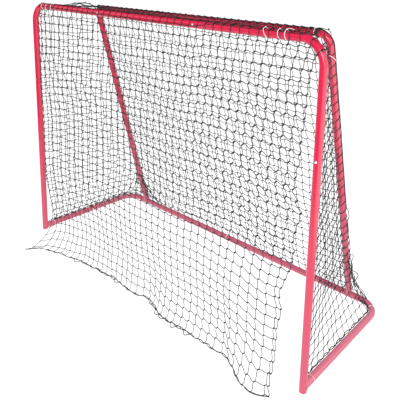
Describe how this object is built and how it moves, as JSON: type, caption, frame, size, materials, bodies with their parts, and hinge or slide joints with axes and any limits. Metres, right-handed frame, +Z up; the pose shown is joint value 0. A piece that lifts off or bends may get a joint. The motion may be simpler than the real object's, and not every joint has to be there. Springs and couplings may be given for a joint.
{
  "type": "hockey goal net",
  "caption": "Hockey goal with a red tubular steel frame bolted from bent and straight tubes, a black knotted net on its top, back and sides, and a loose net curtain over its mouth.",
  "frame": {"origin": "on the floor, at the middle of the goal's footprint", "axes": "+X along the goal line towards the right post as seen from in front, +Y from the mouth to the back, +Z up"},
  "size_m": [1.662, 0.7487, 1.1839],
  "materials": {
    "red_powder_coat": "satin",
    "red_plastic": "matte",
    "white_zinc": "satin",
    "bright_zinc": "satin",
    "white_nylon": "gloss",
    "black_twine": "matte"
  },
  "bodies": {
    "root": {"left_lower_post": "red_powder_coat", "right_lower_post": "red_powder_coat", "left_upper_corner": "red_powder_coat", "right_upper_corner": "red_powder_coat", "crossbar": "red_powder_coat", "left_side_tube": "red_powder_coat", "right_side_tube": "red_powder_coat", "left_base_corner": "red_powder_coat", "right_base_corner": "red_powder_coat", "rear_base_bar": "red_powder_coat", "left_rear_leg": "red_powder_coat", "right_rear_leg": "red_powder_coat", "left_rear_corner": "red_powder_coat", "right_rear_corner": "red_powder_coat", "rear_top_bar": "red_powder_coat", "left_foot_plug": "red_plastic", "right_foot_plug": "red_plastic", "frame_screws": "white_zinc", "screw_bosses": "bright_zinc", "base_ties": "white_nylon", "top_ties": "white_nylon", "top_net": "black_twine", "back_net": "black_twine", "left_side_net": "black_twine", "right_side_net": "black_twine", "front_curtain": "black_twine"}
  },
  "joints": []
}
